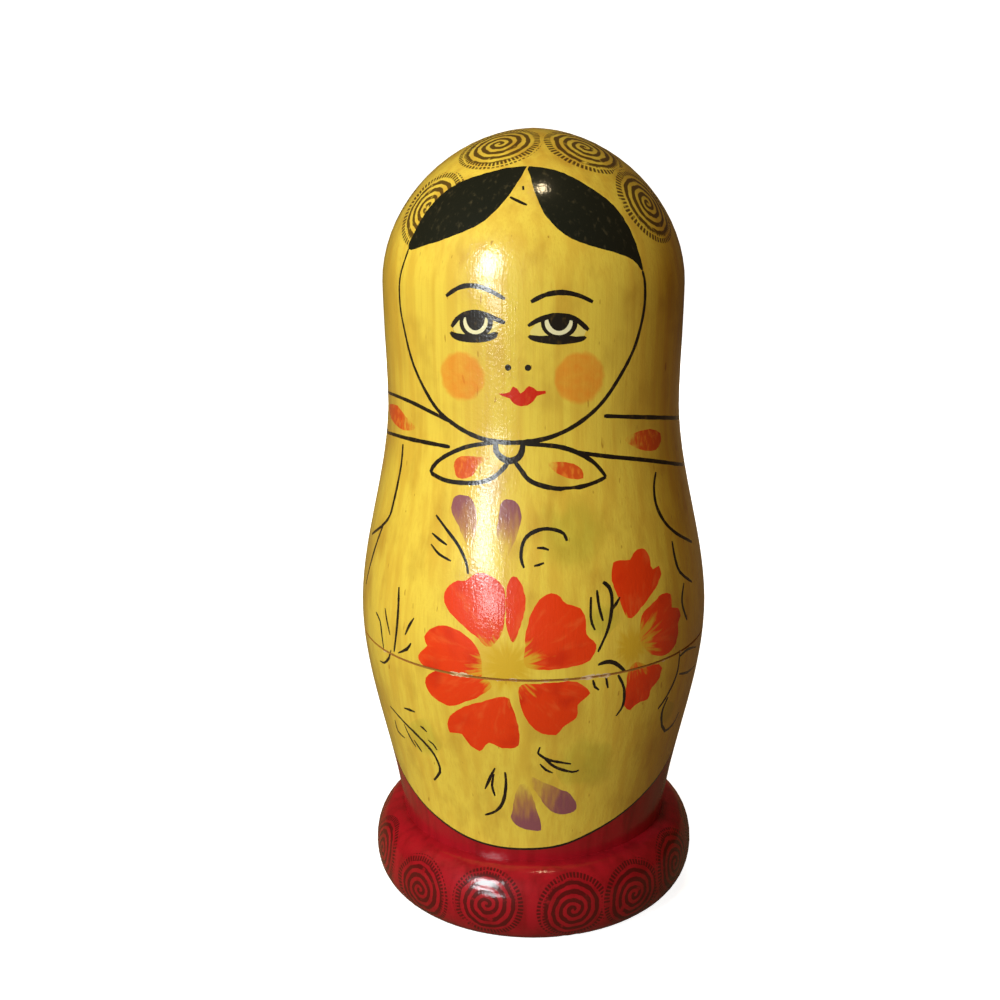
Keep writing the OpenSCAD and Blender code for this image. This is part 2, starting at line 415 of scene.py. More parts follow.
SPRIG_LINES_PX = {
    "top_left_stem": (STEM, [(436, 515), (447, 530), (458, 545), (466, 562), (468, 574)]),
    "top_left_leaf_a": (VEIN, [(432, 533), (440, 540), (447, 545)]),
    "top_left_leaf_b": (VEIN, [(431, 544), (439, 554), (451, 561)]),
    "hook": ((0.69, 0.98, 0.8), [
        (524, 568), (521, 558), (523, 543), (530, 534), (543, 529), (556, 530), (564, 534), (567, 541)]),
    "hook_dash_a": (DASH, [(537, 548), (543, 548), (549, 550)]),
    "hook_dash_b": (DASH, [(534, 566), (539, 565), (544, 563)]),
    "left_stem_a": ((0.69, 0.98, 0.57), [(399, 587), (398, 613), (396, 636), (394, 652)]),
    "left_stem_b": ((0.57, 0.8, 0.57), [(376, 612), (380, 621), (382, 636), (384, 651)]),
    "left_stem_c": (VEIN, [(385, 608), (387, 621), (390, 635)]),
    "left_leaf_a": (BLADE, [(405, 635), (409, 626), (414, 618)]),
    "left_leaf_b": (BLADE, [(398, 653), (407, 649), (411, 643)]),
    "left_hook": ((0.46, 0.86, 0.46), [(391, 650), (389, 658), (384, 663), (380, 661)]),
    "right_stem_a": ((1.03, 0.92, 0.57), [
        (603, 582), (609, 587), (612, 598), (611, 615), (607, 632), (598, 652)]),
    "right_branch": ((0.46, 0.8, 0.57), [(620, 597), (616, 604), (612, 610)]),
    "right_dash_a": (DASH, [(591, 597), (591, 619), (595, 630)]),
    "right_dash_b": (DASH, [(597, 590), (599, 606), (603, 621)]),
    "right_leaf": ((0.69, 1.26, 0.8), [(598, 665), (606, 662), (615, 663), (625, 671)]),
    "right_stem_b": ((0.69, 0.86, 0.57), [(618, 675), (624, 688), (623, 705), (616, 716)]),
    "right_dash_c": (DASH, [(593, 680), (595, 687), (599, 690)]),
    "right_dash_d": (DASH, [(606, 677), (607, 683), (608, 688)]),
    "edge_leaf_upper": (TWIG, [(679, 657), (688, 649), (696, 647)]),
    "edge_leaf_lower": (TWIG, [(679, 674), (688, 672), (695, 665)]),
    "edge_stem": ((0.57, 0.92, 0.69), [(680, 650), (678, 669), (673, 684), (665, 699), (658, 709)]),
    "edge_leaf": ((0.69, 0.98, 0.69), [
        (668, 697), (662, 712), (662, 726), (665, 731), (673, 724), (679, 712)]),
    "low_left_stem": ((0.57, 0.98, 0.69), [
        (390, 706), (404, 722), (418, 736), (431, 750), (438, 762), (440, 772), (434, 780)]),
    "low_left_leaf_a": (BLADE, [(404, 708), (410, 710), (415, 712)]),
    "low_left_leaf_b": (BLADE, [(420, 726), (423, 728), (427, 732)]),
    "low_left_leaf_c": (BLADE, [(428, 740), (433, 744), (437, 750)]),
    "low_left_leaf_d": (VEIN, [(395, 720), (398, 731), (405, 738)]),
    "low_left_leaf_e": (VEIN, [(404, 724), (410, 737), (416, 747)]),
    "low_left_leaf_f": (VEIN, [(414, 740), (418, 746), (422, 752)]),
    "bottom_stem_a": ((0.57, 0.8, 0.46), [(495, 768), (490, 778), (485, 789)]),
    "bottom_stem_b": (VEIN, [(494, 774), (492, 785), (495, 796)]),
    "bottom_stem_c": (STEM, [
        (505, 772), (506, 785), (503, 802), (496, 811), (485, 815)]),
    "low_right_stem_a": (TWIG, [(540, 747), (538, 753), (549, 760), (571, 764)]),
    "low_right_stem_b": (TWIG, [(543, 757), (555, 767), (572, 772), (579, 770)]),
    "low_right_stem_c": (VEIN, [(540, 764), (546, 770), (553, 773)]),
}

# Filled shapes, each closed and smooth through its points; the face takes longer steps than the rest
FACE_STEPS = 2
FACE_PX = [
    (409, 249), (401, 275), (400, 298), (403.5, 323), (414.5, 366), (434.5, 405), (480, 437),
    (505, 441.5), (528, 441), (576, 424), (600, 404), (619, 377), (634, 346), (643, 310), (643, 272),
    (620, 235), (575, 200), (527, 180), (480, 195), (432, 228)]
HAIR_PX = {
    "left_hair": [
        (527, 166), (507, 168), (490, 172), (468, 179), (447, 190), (430, 207), (417, 227), (408.5, 249),
        (428, 244.5), (453, 236), (481, 223), (501, 205), (515, 186), (524, 172)],
    "right_hair": [
        (528.5, 166.5), (555, 170), (572, 177), (588, 186), (604, 197), (616, 208), (626, 222),
        (633, 236), (639, 253), (643, 271), (633, 260), (616, 253), (585, 244), (564, 234), (546, 216),
        (536, 195), (530, 175)],
}
LIPS_PX = [
    (498.5, 393.6), (505, 393.4), (509.5, 392), (513, 386.4), (517, 388.5), (520.5, 393.5), (524, 391),
    (529, 385.9), (534, 388), (537, 391), (545.5, 390.7), (546, 393.5), (537, 396), (533.6, 401),
    (527.3, 405.5), (521, 406.4), (514, 403.8), (509.5, 398.4), (503, 396.4)]
LOWER_LIDS_PX = {
    "left_lower_lid": [
        (449.5, 333), (451.5, 331.2), (457, 333.2), (463, 334), (476, 334.4), (489, 333.6), (494, 331.8),
        (498.3, 332.6), (497, 337), (489, 341.2), (474.7, 342.8), (459, 340.9), (451.8, 337)],
    "right_lower_lid": [
        (527.5, 337), (529.5, 334.9), (540, 336), (547, 335.5), (559, 336.4), (571, 335.8), (576, 336.6),
        (584.5, 335.8), (587, 337.6), (584, 340.4), (577.2, 342.6), (558.6, 344.7), (540, 342.7),
        (531, 340)],
}
EYE_WHITES_PX = {
    "left_white": [
        (453, 330), (457, 321), (464, 316), (473, 314), (482, 315), (491, 318.5), (499, 322.5),
        (497, 331), (490, 335), (476, 336), (463, 335)],
    "right_white": [
        (530, 334), (537, 323), (548, 318), (558.6, 317), (569, 318), (578, 322), (586, 331), (584, 336),
        (571, 337), (559, 337.5), (545, 337)],
}
# Eyes under their upper lids: paint, middle, radii, and the highest place that the paint reaches
EYES_PX = {
    "left": [
        ("black", (476.2, 322.4), (16.8, 15.6), 308),
        ("cream", (475.5, 322), (12.2, 12.2), 317.3),
        ("black", (475.5, 316.6), (9.7, 13.9), 308)],
    "right": [
        ("black", (559.2, 323), (18.4, 15.6), 308),
        ("cream", (558.7, 322.6), (14, 12.6), 319),
        ("black", (559.1, 317), (11, 14), 308)],
}
NOSE_DOTS_PX = [(508, 367.6), (528, 367.8)]
NOSE_DOT_MM = 0.75
# Steps along an upper lid, and how far below it the eye's paint starts
LID_STEP_PX = 2
UNDER_LID_PX = 0.5
CHEEKS_PX = {"left_cheek": ((461.6, 376.4), (21.8, 24.5)), "right_cheek": ((580, 377.9), (23.2, 25.9))}
# Leaves washed in thin green behind the sprigs: middle and radius
WASHES_PX = {
    "shoulder_leaf": ((574, 534), 40), "right_leaf": ((602, 621), 20), "edge_leaf": ((667, 712), 10),
    "low_left_leaf": ((424, 738), 18), "low_right_leaf": ((586, 764), 28)}
# Red dabs and purple petals: where the paint is thickest, where the brush ran dry, and the outline
DABS_PX = {
    "left_scarf_dab": ((393, 412), (414, 429), [
        (390, 404), (398, 406), (406, 417), (416, 428), (404, 430), (395, 424), (390, 415)]),
    "right_scarf_dab": ((657, 441), (626, 440), [
        (625, 440), (635, 433), (650, 429), (660, 433), (661, 441), (656, 450), (645, 451), (633, 446)]),
    "left_bow_dab": ((458, 470), (488, 459), [
        (454, 466), (457, 458), (468, 456), (489, 458), (480, 464), (475, 472), (470, 477), (458, 478)]),
    "right_bow_dab": ((577, 473), (549, 464), [
        (548, 463), (562, 462), (574, 464), (582, 470), (583, 478), (572, 479), (562, 476), (553, 470)]),
}
PURPLE_PX = {
    "top_left": ((460, 497), (471, 549), [
        (452, 503), (456, 496), (464, 495), (472, 499), (476, 511), (476, 527), (472, 550), (466, 543),
        (459, 527), (452, 513)]),
    "top_right": ((511, 501), (504, 556), [
        (501, 504), (506, 499), (512, 500), (518, 504), (521, 513), (520, 525), (515, 541), (506, 558),
        (500, 554), (497, 539), (498, 521)]),
    "low_left": ((528, 826), (524, 784), [
        (513, 808), (511, 817), (516, 825), (526, 829), (541, 830), (540, 820), (536, 808), (532, 795),
        (526, 783), (520, 785), (515, 795)]),
    "low_right": ((572, 804), (530, 778), [
        (529, 776), (538, 780), (553, 786), (570, 794), (577, 805), (574, 812), (560, 814), (547, 808),
        (538, 795), (531, 785)]),
}
FLOWERS_PX = {
    "front_flower": ((507, 666), 34, {
        "upper_left": [
            (487, 647), (475, 636), (460, 623), (447, 608), (444, 593), (454, 582), (466, 580),
            (477, 573), (489, 575), (502, 585), (505, 596), (505, 613), (502, 632), (495, 643)],
        "upper": [
            (506, 596), (508, 583), (513, 576), (520, 581), (525, 596), (525, 610), (519, 630),
            (513, 643), (507, 630), (506, 613)],
        "upper_right": [
            (526, 667), (525, 645), (528, 623), (536, 604), (546, 595), (557, 594), (567, 604),
            (580, 608), (586, 620), (587, 634), (596, 645), (590, 660), (572, 667), (549, 670)],
        "lower_right": [
            (521, 685), (536, 684), (558, 682), (577, 682), (590, 693), (578, 705), (577, 717),
            (563, 727), (556, 735), (538, 732), (524, 716), (519, 697)],
        "lower": [
            (505, 697), (513, 709), (519, 730), (518, 746), (502, 748), (489, 743), (479, 751),
            (467, 742), (462, 734), (450, 732), (448, 719), (461, 708), (477, 703)],
        "left_upper": [
            (482, 668), (480, 655), (471, 640), (451, 627), (434, 627), (424, 637), (427, 646),
            (418, 655), (424, 666), (442, 672), (460, 675), (480, 679)],
        "left_lower": [
            (480, 677), (460, 674), (441, 670), (429, 674), (425, 683), (432, 696), (450, 706),
            (464, 702), (480, 696), (492, 686)],
    }),
    "side_flower": ((632, 647), 26, {
        "upper": [
            (612, 572), (613, 563), (620, 560), (630, 560), (633, 553), (642, 548), (648, 553),
            (650, 561), (653, 569), (659, 566), (661, 574), (659, 581), (653, 592), (644, 604),
            (632, 618), (625, 615), (621, 603), (616, 592), (612, 581)],
        "side": [
            (642, 616), (653, 603), (662, 594), (670, 594), (672, 601), (672, 607), (678, 608),
            (681, 615), (678, 624), (678, 636), (674, 647), (666, 655), (657, 656), (647, 651),
            (640, 640)],
        "low": [
            (627, 675), (630, 668), (637, 662), (647, 665), (659, 664), (662, 668), (661, 674),
            (657, 682), (650, 691), (648, 699), (640, 702), (634, 706), (630, 710), (624, 706),
            (626, 693)],
    }),
}

# The lower edge of the yellow apron, as angles from the front and heights in mm; it ends at the waist.
# The cloth is cut to a little past the waist's rim.
APRON_EDGE = [
    (-99, 74), (-94, 62), (-84, 47), (-69.5, 37.2), (-56.7, 32.1), (-44.3, 28.6), (-28.7, 25.4),
    (-16, 24.2), (-3.4, 24.1), (11, 24.9), (24.7, 27.6), (36.9, 30.4), (50.3, 34), (63.4, 37.9), (80, 46),
    (92, 61), (99, 74)]
APRON_LINE_MM = (0.5, 0.65, 0.5)
APRON_STEP = 3
APRON_PAST_RIM_MM = 3

# Behind the shoulders: the hems of the kerchief, from one side round to the other, and dabs between them
KERCHIEF_HEMS = {
    "upper_hem": [
        (72, 130), (95, 128), (125, 121), (155, 111), (180, 104), (205, 111), (233, 123), (255, 131.5),
        (270, 135), (283, 136)],
    "lower_hem": [
        (72, 118), (95, 115), (125, 107), (155, 97), (180, 89), (205, 97), (233, 109.5), (255, 119.5),
        (270, 124.4), (283, 126)],
}
KERCHIEF_LINE_MM = (0.9, 1.1, 0.9)
KERCHIEF_STEP = 4
KERCHIEF_DABS = [(98, 121.5), (126, 114), (153, 104.5), (180, 96.5), (207, 104.5), (234, 115), (261, 125.5)]
KERCHIEF_DAB_MM = (4.4, 2.9)
# How much a dab narrows to one end, and how far it leans at most
DAB_TAPER = 0.35
DAB_TILT = 0.5

# Spiral stamps on the kerchief over the head, as angles and heights in mm, and round the foot
HEAD_STAMPS = [
    (-32, 196.2), (46, 195.4), (60, 182.7), (-51, 182.2), (-96, 182), (-142, 184), (173, 182.5),
    (138, 184), (104, 181)]
FOOT_STAMPS = [
    (-94, 11), (-70, 12), (-42.5, 10), (-15.8, 11.8), (13.4, 10.7), (36.5, 10.6), (60, 12), (86, 10.5),
    (112, 11.5), (138, 10.4), (163, 11.7), (189, 10.6), (215, 12), (240, 10.3)]


# Materials

# Colours of the paints and the wood
AMBER = (0.81, 0.60, 0.07, 1)
AMBER_DEEP = (0.72, 0.47, 0.05, 1)
AMBER_BROWN = (0.42, 0.19, 0.015, 1)
CRIMSON = (0.36, 0.007, 0.015, 1)
CRIMSON_DARK = (0.24, 0.005, 0.009, 1)
BLACK = (0.011, 0.008, 0.006, 1)
BLACK_THIN = (0.10, 0.06, 0.012, 1)
HAIR = (0.010, 0.012, 0.008, 1)
# Pale spots on the black hair: dust and scratches, and in part a painted sheen that greys the hair
HAIR_DUST_AND_SHEEN = (0.085, 0.070, 0.036, 1)
PETAL = (0.79, 0.044, 0.004, 1)
PETAL_PALE = (0.84, 0.13, 0.025, 1)
PETAL_DARK = (0.58, 0.016, 0.002, 1)
PURPLE = (0.27, 0.085, 0.10, 1)
PURPLE_THIN = (0.42, 0.17, 0.07, 1)
DAB = (0.66, 0.07, 0.008, 1)
DAB_PALE = (0.80, 0.20, 0.02, 1)
CHEEK = (0.80, 0.19, 0.01, 1)
LIPS = (0.60, 0.016, 0.003, 1)
LEAF = (0.36, 0.335, 0.025, 1)
CREAM = (0.85, 0.79, 0.48, 1)
EYE_WHITE = (0.80, 0.76, 0.30, 1)
STAMP_INK = (0.055, 0.022, 0.006, 1)
FOOT_INK = (0.070, 0.005, 0.005, 1)
HEART = (0.68, 0.42, 0.025, 1)
SEAM = (0.30, 0.13, 0.025, 1)
BARE = (0.74, 0.55, 0.33, 1)
BARE_DARK = (0.62, 0.41, 0.21, 1)

# Sizes of the wood's figure, as waves in a metre and how far each runs out along the grain
BANDS = (330, 0.05)
FIBRES = (2300, 0.02)
SPECKS = (900, 0.25)
BLOTCHES = (42, 0.6)
RED_BLOTCHES = (42, 1.0)
MOTTLES = (130, 0.6)
# The same for what wear, lacquer, brushes, stamps and turning tools leave
CHIPS = (260, 1.0)
PEEL = (1400, 1.0)
BRUSHMARKS = (900, 0.5)
PURPLE_MARKS = (700, 0.12)
DAB_MARKS = (800, 0.5)
CHEEK_MARKS = (500, 1.0)
LEAF_MARKS = (160, 1.0)
PETAL_BLOTS = (120, 1.0)
STAMP_GAPS = (420, 1.0)
TOOL_RINGS = 1500
# Figure over a colour: its size and detail, the values where it starts and is full, its share and colour
AMBER_FIGURE = [
    (BANDS, 3.0, 0.38, 0.68, 1.0, AMBER_DEEP),
    (FIBRES, 2.0, 0.45, 0.75, 0.6, AMBER_DEEP),
    (MOTTLES, 3.0, 0.48, 0.75, 0.36, AMBER_BROWN),
    (BLOTCHES, 3.0, 0.54, 0.8, 0.55, AMBER_BROWN),
    (SPECKS, 1.0, 0.735, 0.78, 0.7, AMBER_BROWN),
]
CRIMSON_FIGURE = [
    (BANDS, 3.0, 0.35, 0.75, 1.0, CRIMSON_DARK),
    (RED_BLOTCHES, 3.0, 0.5, 0.8, 0.6, CRIMSON_DARK),
]
PETAL_FIGURE = [(PETAL_BLOTS, 2.0, 0.5, 0.75, 0.7, PETAL_DARK)]
BARE_FIGURE = [(BANDS, 4.0, 0.35, 0.7, 1.0, BARE_DARK)]
# Other tones: the values where they start and are full, and their share where they don't cover
CHIP_TONE = (0.52, 0.74, CHIP_REACH)
SEAM_TONE = (0.55, 0.68)
STREAK_TONE = (0.5, 0.72, 0.5)
PETAL_ROOT_MM = (8.5, 4.5, 0.9)
HEART_EDGE = (0.85, 0.35)
PURPLE_RUBBED = (1.1, 0.45, 0.9)
PURPLE_THICK = (0.6, 0.05)
DAB_RUBBED = (1.15, 0.5, 0.97)
# How far brushmarks break up the end of a purple petal and of a dab, and how much they mottle a wash
PURPLE_BREAK = 0.9
DAB_BREAK = 1.2
WASH_MOTTLE = 0.5
# Fibres in the colour of bare wood, and tool rings and fibres in its relief
BARE_FIBRES = 0.3
BARE_RELIEF = (0.6, 0.4)
# The white of an eye is a thin wash through which the wood shows
EYE_WHITE_SHARE = 0.5
# Streaks of petals and of hearts: how many in a round, change on the way out, scale, detail, and how far
# they tear an edge
PETAL_STREAKS = (26.0, 0.09, 1.6, 3.0, 16.0)
HEART_RAYS = (14.0, 0.0, 1.3, 2.0, 1.2)
# Teeth of a stamp's outer turns in a full round, and the shares of its radius where they take over and end
STAMP_TEETH = 58
STAMP_COMB = (0.76, 0.84)
STAMP_END = 0.97
# Its line, teeth and the length of teeth, as distances from their middles, and the gaps in its ink
STAMP_LINE = (0.3, 0.22)
STAMP_TOOTH = (0.36, 0.26)
STAMP_TOOTH_LENGTH = (0.44, 0.36)
STAMP_GAP_TONE = (0.24, 0.4)
# Waver of a stamp's turns: its scale and its reach
STAMP_WAVER = (0.35, 0.55)


class Nodes:
    """A material or world being made: adds nodes and gives the sockets that they put out."""

    def __init__(self, name, library=bpy.data.materials):
        self.owner = library.new(name)
        self.owner.use_nodes = True
        self.tree = self.owner.node_tree
        self.tree.nodes.clear()

    def put(self, kind, inputs=(), **settings):
        node = self.tree.nodes.new("ShaderNode" + kind)
        for key, value in settings.items():
            setattr(node, key, value)
        for socket, value in dict(inputs).items():
            if isinstance(value, bpy.types.NodeSocket):
                self.tree.links.new(value, node.inputs[socket])
            else:
                node.inputs[socket].default_value = value
        return node

    def math(self, operation, *values):
        return self.put("Math", enumerate(values), operation=operation).outputs[0]

    def mix(self, share, a, b):
        return self.put("Mix", {0: share, 6: a, 7: b}, data_type="RGBA").outputs[2]

    def ramp(self, value, low, high):
        """From 0 at low to 1 at high, smoothly."""
        inputs = {0: value, 1: low, 2: high, 3: 0.0, 4: 1.0}
        return self.put("MapRange", inputs, interpolation_type="SMOOTHSTEP").outputs[0]

    def upto(self, value, low, high, most):
        """From 0 at low to most at high, smoothly."""
        return self.math("MULTIPLY", self.ramp(value, low, high), most)

    def place(self, along=1.0):
        """Where a point is on the piece in metres, with heights shrunk so that figure follows the grain."""
        place = self.put("TexCoord").outputs["Object"]
        return self.put("Mapping", {"Vector": place, "Scale": (1, 1, along)}).outputs[0]

    def noise(self, vector, scale, detail=2.0):
        inputs = {"Vector": vector, "Scale": scale, "Detail": detail}
        return self.put("TexNoise", inputs).outputs[0]

    def figure(self, size, detail=2.0):
        """A noise of so many waves in a metre, which runs out along the grain."""
        waves, along = size
        return self.noise(self.place(along), waves, detail)

    def swing(self, value):
        """A value from 0 to 1, moved to swing about 0."""
        return self.math("SUBTRACT", value, 0.5)

    def attribute(self, name):
        return self.put("Attribute", attribute_name=name)

    def brush(self):
        """The brush's place across and up, and its seed."""
        split = self.put("SeparateXYZ", {0: self.attribute("brush").outputs["Vector"]})
        return split.outputs[0], split.outputs[1], split.outputs[2]

    def polar(self):
        """Distance and turn, in rounds, from the brush's origin, and the brush's seed."""
        x, y, seed = self.brush()
        squares = self.math("ADD", self.math("MULTIPLY", x, x), self.math("MULTIPLY", y, y))
        turn = self.math("DIVIDE", self.math("ARCTAN2", y, x), 2 * math.pi)
        return self.math("SQRT", squares), turn, seed

    def rays(self, around, outward, scale, detail, tear):
        """Streaks of noise that run out from the brush's origin, and the distance from it, torn by them."""
        reach, turn, seed = self.polar()
        places = {0: self.math("MULTIPLY", turn, around), 1: self.math("MULTIPLY", reach, outward), 2: seed}
        streaks = self.noise(self.put("CombineXYZ", places).outputs[0], scale, detail)
        return streaks, self.math("MULTIPLY_ADD", self.swing(streaks), tear, reach)

    def finish(self, colour, height, surface, coat=0.0, coat_roughness=0.1):
        """Ends a material with its relief and its surface: roughness, depth of the relief, and shine."""
        roughness, depth, shine = surface
        bump = self.put("Bump", {"Strength": 1.0, "Distance": depth, "Height": height}).outputs[0]
        shader = self.put("BsdfPrincipled", {
            "Base Color": colour, "Roughness": roughness, "Specular IOR Level": shine, "Coat Weight": coat,
            "Coat Roughness": coat_roughness, "Normal": bump, "Coat Normal": bump})
        self.put("OutputMaterial", {0: shader.outputs[0]})
        return self.owner

    def lacquered(self, colour, lacquer):
        """Paint or wood under clear lacquer, through which the grain shows as faint ripples."""
        of_fibres, of_bands, of_peel = RIPPLES
        bands = self.math("MULTIPLY", self.figure(BANDS), of_bands)
        grain = self.math("ADD", self.math("MULTIPLY", self.figure(FIBRES), of_fibres), bands)
        height = self.math("MULTIPLY_ADD", self.figure(PEEL), of_peel, grain)
        roughness, ripple, shine = lacquer
        surface = (PAINT_ROUGHNESS, ripple, shine)
        return self.finish(colour, height, surface, coat=1.0, coat_roughness=roughness)

    def worn(self, colour):
        """A paint chipped off to pale wood along the waist's rim."""
        rim = self.attribute("rim").outputs["Fac"]
        reach = self.upto(self.figure(CHIPS, detail=4.0), *CHIP_TONE)
        return self.mix(self.math("LESS_THAN", rim, reach), colour, BARE)

    def figured(self, colour, figures):
        for size, detail, low, high, most, tone in figures:
            colour = self.mix(self.upto(self.figure(size, detail), low, high, most), colour, tone)
        return colour

    def amber(self):
        """The colour of yellow stained wood."""
        return self.figured(AMBER, AMBER_FIGURE)

    def crimson(self):
        return self.figured(CRIMSON, CRIMSON_FIGURE)

    def brushed(self, colour, thin, low=0.45, high=0.75):
        """A paint that the brush laid thick and thin."""
        return self.figured(colour, [(BRUSHMARKS, 3.0, low, high, 1.0, thin)])

    def dry(self, marks, reach):
        """From 0 where the brush was full to 1 where it ran dry, broken up by the marks that it left."""
        _, y, _ = self.brush()
        return self.math("MULTIPLY_ADD", self.swing(marks), reach, y)

    def spiral(self, radius, pitch):
        """Where a spiral stamp left ink: whole turns inside, a comb of short dashes in the outer turns."""
        reach, turn, seed = self.polar()
        scale, swerve = STAMP_WAVER
        waver = self.math("MULTIPLY", self.noise(self.attribute("brush").outputs["Vector"], scale), swerve)
        turns = self.math("ADD", self.math("SUBTRACT", self.math("DIVIDE", reach, pitch), turn), seed)
        aside = self.from_middle(self.math("ADD", turns, waver))
        tooth = self.from_middle(self.math("MULTIPLY", turn, STAMP_TEETH))
        line = self.ramp(aside, *STAMP_LINE)
        teeth = self.ramp(tooth, *STAMP_TOOTH)
        comb = self.math("MULTIPLY", teeth, self.ramp(aside, *STAMP_TOOTH_LENGTH))
        outer = self.ramp(reach, *(radius * share for share in STAMP_COMB))
        whole = self.math("MULTIPLY", line, self.math("SUBTRACT", 1.0, outer))
        ink = self.math("ADD", whole, self.math("MULTIPLY", comb, outer))
        ink = self.math("MULTIPLY", ink, self.ramp(reach, radius, radius * STAMP_END))
        gaps = self.figure(STAMP_GAPS, detail=3.0)
        return self.math("MULTIPLY", ink, self.ramp(gaps, *STAMP_GAP_TONE))

    def from_middle(self, value):
        """How far a value is from the middle between whole numbers."""
        return self.math("ABSOLUTE", self.swing(self.math("FRACT", value)))

    def stamped(self, ground, radius, pitch, ink, density):
        share = self.math("MULTIPLY", self.spiral(radius, pitch), density)
        return self.mix(share, ground, ink)

    def petal(self):
        """Red with streaks that run out from the flower's heart, paler and darker."""
        streaks, torn = self.rays(*PETAL_STREAKS)
        colour = self.mix(self.upto(streaks, *STREAK_TONE), PETAL, PETAL_PALE)
        colour = self.figured(colour, PETAL_FIGURE)
        return self.mix(self.upto(torn, *PETAL_ROOT_MM), colour, HEART)

    def heart(self):
        """The ochre heart of a flower, which runs out in rays."""
        _, torn = self.rays(*HEART_RAYS)
        return self.mix(self.ramp(torn, *HEART_EDGE), self.amber(), HEART)

    def purple(self):
        """Thick at the tip of the petal and rubbed out to the wood at its other end."""
        fade = self.dry(self.figure(PURPLE_MARKS), PURPLE_BREAK)
        thin = self.mix(self.upto(fade, *PURPLE_RUBBED), self.amber(), PURPLE_THIN)
        return self.mix(self.ramp(fade, *PURPLE_THICK), thin, PURPLE)

    def dab(self):
        fade = self.dry(self.figure(DAB_MARKS, detail=3.0), DAB_BREAK)
        return self.mix(self.upto(fade, *DAB_RUBBED), self.amber(), self.brushed(DAB, DAB_PALE))

    def wash(self, paint, marks, ragged, fade, density):
        """A round of thin paint, densest in its middle."""
        reach, _, _ = self.polar()
        marks = self.swing(self.figure(marks, detail=3.0))
        edge = self.ramp(self.math("MULTIPLY_ADD", marks, ragged, reach), *fade)
        share = self.math("MULTIPLY", edge, self.math("MULTIPLY_ADD", marks, WASH_MOTTLE, density))
        return self.mix(share, self.amber(), paint)


def lacquer_material(name, lacquer, colour_of):
    n = Nodes(name)
    return n.lacquered(colour_of(n), lacquer)


def seam_material():
    n = Nodes("seam_edge")
    chips = n.figure(CHIPS, detail=4.0)
    return n.finish(n.mix(n.ramp(chips, *SEAM_TONE), SEAM, BARE), chips, SEAM_SURFACE)


def bare_material():
    """Turned wood without paint, with the fine rings that the tool left."""
    n = Nodes("bare_wood")
    fibres = n.figure(FIBRES)
    height = n.put("SeparateXYZ", {0: n.place()}).outputs[2]
    rings = n.noise(n.put("CombineXYZ", {2: height}).outputs[0], TOOL_RINGS)
    colour = n.mix(n.math("MULTIPLY", fibres, BARE_FIBRES), n.figured(BARE, BARE_FIGURE), BARE_DARK)
    of_rings, of_fibres = BARE_RELIEF
    relief = n.math("ADD", n.math("MULTIPLY", rings, of_rings), n.math("MULTIPLY", fibres, of_fibres))
    return n.finish(colour, relief, BARE_SURFACE)


# Stamps: radius, pitch, ink and its density. Washes: paint, marks, how ragged, where they fade, and density
HEAD_STAMP = (STAMP_RADIUS_MM, STAMP_PITCH_MM, STAMP_INK, 0.92)
FOOT_STAMP = (FOOT_STAMP_RADIUS_MM, FOOT_STAMP_PITCH_MM, FOOT_INK, 0.9)
CHEEK_WASH = (CHEEK, CHEEK_MARKS, 0.3, (1.08, 0.86), 0.6)
LEAF_WASH = (LEAF, LEAF_MARKS, 0.9, (1.05, 0.4), 0.4)
# Lacquered paints: the material's name, its lacquer and its colour
PAINTS = {
    "amber": ("amber_lacquer", THIN_LACQUER, lambda n: n.worn(n.amber())),
    "black": ("black_paint", THIN_LACQUER, lambda n: n.worn(n.brushed(BLACK, BLACK_THIN, 0.55, 0.85))),
    "cheek": ("cheek_paint", THIN_LACQUER, lambda n: n.wash(*CHEEK_WASH)),
    "cream": ("cream_paint", THIN_LACQUER, lambda n: n.brushed(CREAM, AMBER, 0.6, 1.0)),
    "crimson": ("crimson_lacquer", DEEP_LACQUER, lambda n: n.worn(n.crimson())),
    "dab": ("dab_paint", THIN_LACQUER, lambda n: n.dab()),
    "eye_white": ("eye_white_paint", THIN_LACQUER, lambda n: n.mix(EYE_WHITE_SHARE, n.amber(), EYE_WHITE)),
    "foot_stamp": ("stamped_crimson", DEEP_LACQUER, lambda n: n.stamped(n.crimson(), *FOOT_STAMP)),
    # Black hair with pale spots of dust and scratches that also act as a painted sheen
    "hair": ("hair_paint", DEEP_LACQUER, lambda n: n.brushed(HAIR, HAIR_DUST_AND_SHEEN, 0.55, 0.95)),
    "heart": ("heart_paint", THIN_LACQUER, lambda n: n.worn(n.heart())),
    "leaf": ("leaf_paint", THIN_LACQUER, lambda n: n.wash(*LEAF_WASH)),
    "lips": ("lips_paint", THIN_LACQUER, lambda n: n.brushed(LIPS, DAB, 0.5, 0.85)),
    "petal": ("petal_paint", THIN_LACQUER, lambda n: n.worn(n.petal())),
    "purple": ("purple_paint", THIN_LACQUER, lambda n: n.purple()),
    "stamp": ("stamped_amber", THIN_LACQUER, lambda n: n.stamped(n.amber(), *HEAD_STAMP)),
}
MATERIALS = {paint: lacquer_material(*recipe) for paint, recipe in PAINTS.items()}
MATERIALS.update(bare=bare_material(), seam=seam_material())


# Shapes of paint, each in closed loops of places, with the brush that its material measures from,
# and whether it is a fine line that the smallest dolls go without

Shape = namedtuple("Shape", "paint loops brush fine", defaults=(None, False))


class UnrolledBrush:
    """Local axes for paint that follows the surface round its bends, across and up from a place, in mm."""

    def __init__(self, place, seed):
        self.angle, self.t = place
        self.r = outline.place(self.t)[0]
        self.seed = seed
        self.size = 1.0

    def local(self, point, t):
        angle = math.atan2(point.x, -point.y) - self.angle
        turn = (angle + math.pi) % (2 * math.pi) - math.pi
        return turn * self.r / self.size, (t - self.t) / self.size, self.seed

    def printed(self, x, y):
        return self.angle + x / self.r, self.t + y


